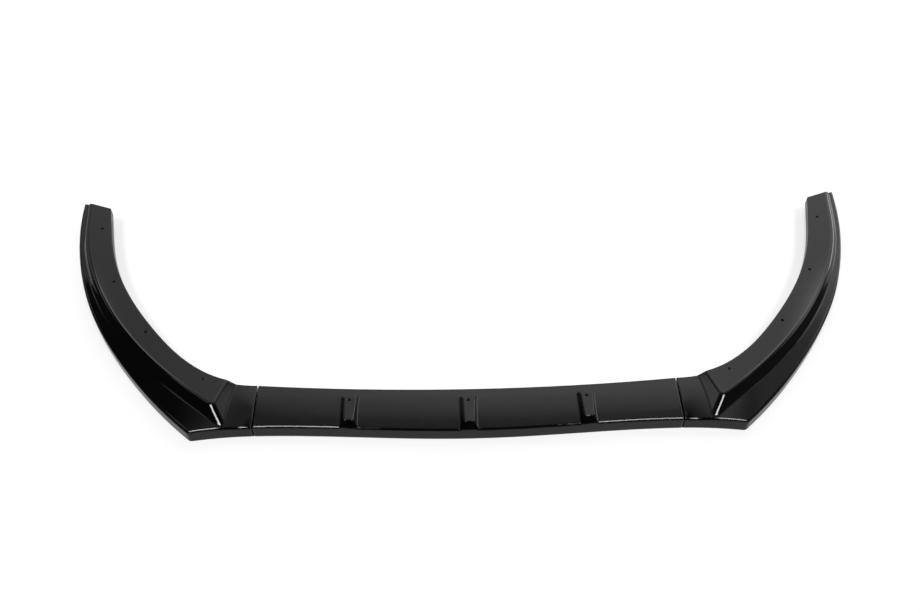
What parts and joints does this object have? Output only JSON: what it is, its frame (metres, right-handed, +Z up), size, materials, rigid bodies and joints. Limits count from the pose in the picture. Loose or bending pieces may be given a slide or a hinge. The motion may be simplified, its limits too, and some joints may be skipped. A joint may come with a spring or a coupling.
{
  "type": "front splitter lip",
  "caption": "Gloss black front splitter lip: a shallow centre section with hollow fins, and swept wings with a raised screw shelf, bolted to its ends.",
  "frame": {"origin": "bottom centre of the whole lip, on the floor that its flange stands on", "axes": "+X to the right seen from the front, +Y back towards the wing tips, +Z up"},
  "size_m": [1.748, 0.652, 0.045],
  "materials": {
    "gloss_shell": "gloss",
    "zinc_steel": "bright zinc plate"
  },
  "bodies": {
    "root": {"centre_section": "gloss_shell", "right_wing": "gloss_shell", "left_wing": "gloss_shell", "right_front_bolt": "zinc_steel", "right_front_nut": "zinc_steel", "right_rear_bolt": "zinc_steel", "right_rear_nut": "zinc_steel", "left_front_bolt": "zinc_steel", "left_front_nut": "zinc_steel", "left_rear_bolt": "zinc_steel", "left_rear_nut": "zinc_steel"}
  },
  "joints": []
}
